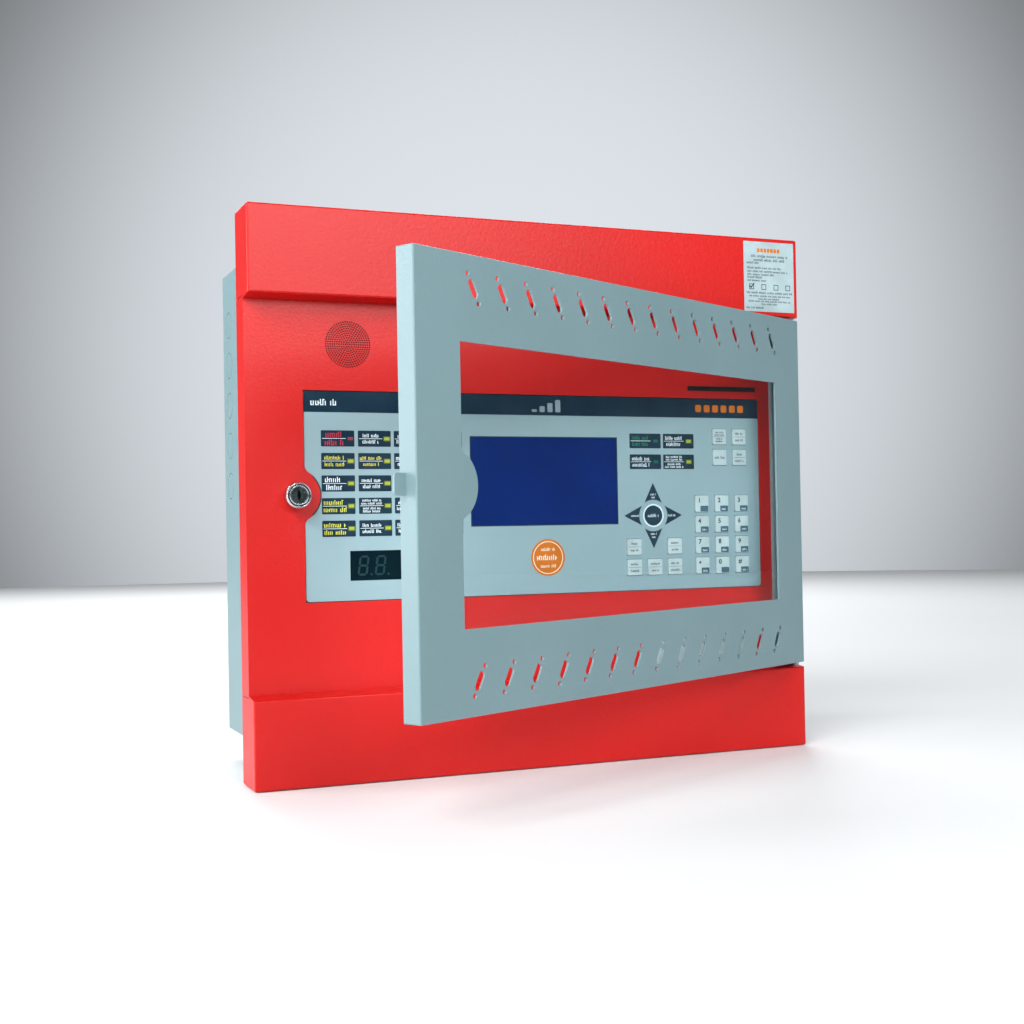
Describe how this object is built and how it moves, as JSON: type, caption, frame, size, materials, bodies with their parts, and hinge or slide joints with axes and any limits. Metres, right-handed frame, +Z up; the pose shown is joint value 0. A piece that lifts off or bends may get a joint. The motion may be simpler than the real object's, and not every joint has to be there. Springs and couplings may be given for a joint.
{
  "type": "fire alarm control panel",
  "caption": "Wall-mounted fire alarm control panel: grey back box, red hinged front door with display and keypad, and a glazed outer door on a side hinge.",
  "frame": {"origin": "centre of the back box's rear face, which lies on the wall", "axes": "+X to the viewer's right, +Y into the wall, +Z up"},
  "size_m": [0.4409, 0.3832, 0.4],
  "materials": {
    "grey_powder_coat": "fine satin powder coat",
    "red_powder_coat": "fine satin powder coat",
    "zinc_steel": "zinc plated",
    "battery_plastic": "moulded",
    "black_plastic": "moulded",
    "circuit_board": "solder mask",
    "green_plastic": "moulded",
    "overlay_film": "printed film",
    "blue_display": "backlit blue",
    "dark_window": "tinted",
    "indicator_lens": "translucent",
    "label_film": "printed film",
    "chrome_lock": "polished",
    "nickel_catch": "nickel plated",
    "clear_pane": "clear acrylic",
    "white_key": "embossed film",
    "navy_key": "embossed film"
  },
  "bodies": {
    "cabinet": {"back_box": "grey_powder_coat", "cabinet_hinges": "zinc_steel", "hinge_pins": "zinc_steel", "batteries": "battery_plastic", "battery_strap": "zinc_steel", "power_supply": "zinc_steel", "circuit_boards": "circuit_board", "board_standoffs": "zinc_steel", "terminal_blocks": "green_plastic"},
    "front_door": {"control_plate": "black_plastic", "digit_modules": "black_plastic", "digit_window": "dark_window", "display_board": "circuit_board", "door_hinges": "zinc_steel", "door_nuts": "zinc_steel", "front_door_skin": "red_powder_coat", "hinge_rail": "grey_powder_coat", "indicator_lenses": "indicator_lens", "key_switches": "black_plastic", "lcd_module": "zinc_steel", "lcd_window": "blue_display", "lock_barrel": "chrome_lock", "overlay": "overlay_film", "rail_pins": "zinc_steel", "rating_label": "label_film", "sounder": "black_plastic", "sounder_grille": "red_powder_coat"},
    "glazed_door": {"glazed_door_frame": "grey_powder_coat", "glazed_door_pane": "clear_pane", "pane_clips": "zinc_steel", "pull_tab": "grey_powder_coat", "magnet_catch": "nickel_catch"},
    "lock_core": {"lock_plug": "chrome_lock", "lock_cam": "zinc_steel"},
    "key_control_1": {"key_control_1": "white_key"},
    "key_control_2": {"key_control_2": "white_key"},
    "key_control_3": {"key_control_3": "white_key"},
    "key_control_4": {"key_control_4": "white_key"},
    "key_digit_0": {"key_digit_0": "white_key"},
    "key_digit_1": {"key_digit_1": "white_key"},
    "key_digit_2": {"key_digit_2": "white_key"},
    "key_digit_3": {"key_digit_3": "white_key"},
    "key_digit_4": {"key_digit_4": "white_key"},
    "key_digit_5": {"key_digit_5": "white_key"},
    "key_digit_6": {"key_digit_6": "white_key"},
    "key_digit_7": {"key_digit_7": "white_key"},
    "key_digit_8": {"key_digit_8": "white_key"},
    "key_digit_9": {"key_digit_9": "white_key"},
    "key_digit_hash": {"key_digit_hash": "white_key"},
    "key_digit_star": {"key_digit_star": "white_key"},
    "key_function_1": {"key_function_1": "white_key"},
    "key_function_2": {"key_function_2": "white_key"},
    "key_function_3": {"key_function_3": "white_key"},
    "key_function_4": {"key_function_4": "white_key"},
    "key_function_5": {"key_function_5": "white_key"},
    "key_nav_down": {"key_nav_down": "navy_key"},
    "key_nav_enter": {"key_nav_enter": "navy_key"},
    "key_nav_left": {"key_nav_left": "navy_key"},
    "key_nav_right": {"key_nav_right": "navy_key"},
    "key_nav_up": {"key_nav_up": "navy_key"}
  },
  "joints": [
    {"name": "cam_turn", "type": "hinge", "parent": "front_door", "child": "lock_core", "pos_m": [-0.185, -0.16, 0.0006], "axis": [0, 1, 0], "range_deg": [-90, 0]},
    {"name": "door_swing", "type": "hinge", "parent": "cabinet", "child": "front_door", "pos_m": [0.209, -0.15, 0], "axis": [0, 0, 1], "range_deg": [0, 100]},
    {"name": "glazed_door_swing", "type": "hinge", "parent": "front_door", "child": "glazed_door", "pos_m": [0.215, -0.1805, 0], "axis": [0, 0, 1], "range_deg": [-27.3, 75]},
    {"name": "key_control_1_press", "type": "slide", "parent": "front_door", "child": "key_control_1", "axis": [0, 1, 0], "range_m": [0, 0.0004], "stiffness_N_per_m": 1500, "springref_m": -0.0001},
    {"name": "key_control_2_press", "type": "slide", "parent": "front_door", "child": "key_control_2", "axis": [0, 1, 0], "range_m": [0, 0.0004], "stiffness_N_per_m": 1500, "springref_m": -0.0001},
    {"name": "key_control_3_press", "type": "slide", "parent": "front_door", "child": "key_control_3", "axis": [0, 1, 0], "range_m": [0, 0.0004], "stiffness_N_per_m": 1500, "springref_m": -0.0001},
    {"name": "key_control_4_press", "type": "slide", "parent": "front_door", "child": "key_control_4", "axis": [0, 1, 0], "range_m": [0, 0.0004], "stiffness_N_per_m": 1500, "springref_m": -0.0001},
    {"name": "key_digit_0_press", "type": "slide", "parent": "front_door", "child": "key_digit_0", "axis": [0, 1, 0], "range_m": [0, 0.0004], "stiffness_N_per_m": 1500, "springref_m": -0.0001},
    {"name": "key_digit_1_press", "type": "slide", "parent": "front_door", "child": "key_digit_1", "axis": [0, 1, 0], "range_m": [0, 0.0004], "stiffness_N_per_m": 1500, "springref_m": -0.0001},
    {"name": "key_digit_2_press", "type": "slide", "parent": "front_door", "child": "key_digit_2", "axis": [0, 1, 0], "range_m": [0, 0.0004], "stiffness_N_per_m": 1500, "springref_m": -0.0001},
    {"name": "key_digit_3_press", "type": "slide", "parent": "front_door", "child": "key_digit_3", "axis": [0, 1, 0], "range_m": [0, 0.0004], "stiffness_N_per_m": 1500, "springref_m": -0.0001},
    {"name": "key_digit_4_press", "type": "slide", "parent": "front_door", "child": "key_digit_4", "axis": [0, 1, 0], "range_m": [0, 0.0004], "stiffness_N_per_m": 1500, "springref_m": -0.0001},
    {"name": "key_digit_5_press", "type": "slide", "parent": "front_door", "child": "key_digit_5", "axis": [0, 1, 0], "range_m": [0, 0.0004], "stiffness_N_per_m": 1500, "springref_m": -0.0001},
    {"name": "key_digit_6_press", "type": "slide", "parent": "front_door", "child": "key_digit_6", "axis": [0, 1, 0], "range_m": [0, 0.0004], "stiffness_N_per_m": 1500, "springref_m": -0.0001},
    {"name": "key_digit_7_press", "type": "slide", "parent": "front_door", "child": "key_digit_7", "axis": [0, 1, 0], "range_m": [0, 0.0004], "stiffness_N_per_m": 1500, "springref_m": -0.0001},
    {"name": "key_digit_8_press", "type": "slide", "parent": "front_door", "child": "key_digit_8", "axis": [0, 1, 0], "range_m": [0, 0.0004], "stiffness_N_per_m": 1500, "springref_m": -0.0001},
    {"name": "key_digit_9_press", "type": "slide", "parent": "front_door", "child": "key_digit_9", "axis": [0, 1, 0], "range_m": [0, 0.0004], "stiffness_N_per_m": 1500, "springref_m": -0.0001},
    {"name": "key_digit_hash_press", "type": "slide", "parent": "front_door", "child": "key_digit_hash", "axis": [0, 1, 0], "range_m": [0, 0.0004], "stiffness_N_per_m": 1500, "springref_m": -0.0001},
    {"name": "key_digit_star_press", "type": "slide", "parent": "front_door", "child": "key_digit_star", "axis": [0, 1, 0], "range_m": [0, 0.0004], "stiffness_N_per_m": 1500, "springref_m": -0.0001},
    {"name": "key_function_1_press", "type": "slide", "parent": "front_door", "child": "key_function_1", "axis": [0, 1, 0], "range_m": [0, 0.0004], "stiffness_N_per_m": 1500, "springref_m": -0.0001},
    {"name": "key_function_2_press", "type": "slide", "parent": "front_door", "child": "key_function_2", "axis": [0, 1, 0], "range_m": [0, 0.0004], "stiffness_N_per_m": 1500, "springref_m": -0.0001},
    {"name": "key_function_3_press", "type": "slide", "parent": "front_door", "child": "key_function_3", "axis": [0, 1, 0], "range_m": [0, 0.0004], "stiffness_N_per_m": 1500, "springref_m": -0.0001},
    {"name": "key_function_4_press", "type": "slide", "parent": "front_door", "child": "key_function_4", "axis": [0, 1, 0], "range_m": [0, 0.0004], "stiffness_N_per_m": 1500, "springref_m": -0.0001},
    {"name": "key_function_5_press", "type": "slide", "parent": "front_door", "child": "key_function_5", "axis": [0, 1, 0], "range_m": [0, 0.0004], "stiffness_N_per_m": 1500, "springref_m": -0.0001},
    {"name": "key_nav_down_press", "type": "slide", "parent": "front_door", "child": "key_nav_down", "axis": [0, 1, 0], "range_m": [0, 0.0004], "stiffness_N_per_m": 1500, "springref_m": -0.0001},
    {"name": "key_nav_enter_press", "type": "slide", "parent": "front_door", "child": "key_nav_enter", "axis": [0, 1, 0], "range_m": [0, 0.0004], "stiffness_N_per_m": 1500, "springref_m": -0.0001},
    {"name": "key_nav_left_press", "type": "slide", "parent": "front_door", "child": "key_nav_left", "axis": [0, 1, 0], "range_m": [0, 0.0004], "stiffness_N_per_m": 1500, "springref_m": -0.0001},
    {"name": "key_nav_right_press", "type": "slide", "parent": "front_door", "child": "key_nav_right", "axis": [0, 1, 0], "range_m": [0, 0.0004], "stiffness_N_per_m": 1500, "springref_m": -0.0001},
    {"name": "key_nav_up_press", "type": "slide", "parent": "front_door", "child": "key_nav_up", "axis": [0, 1, 0], "range_m": [0, 0.0004], "stiffness_N_per_m": 1500, "springref_m": -0.0001}
  ]
}
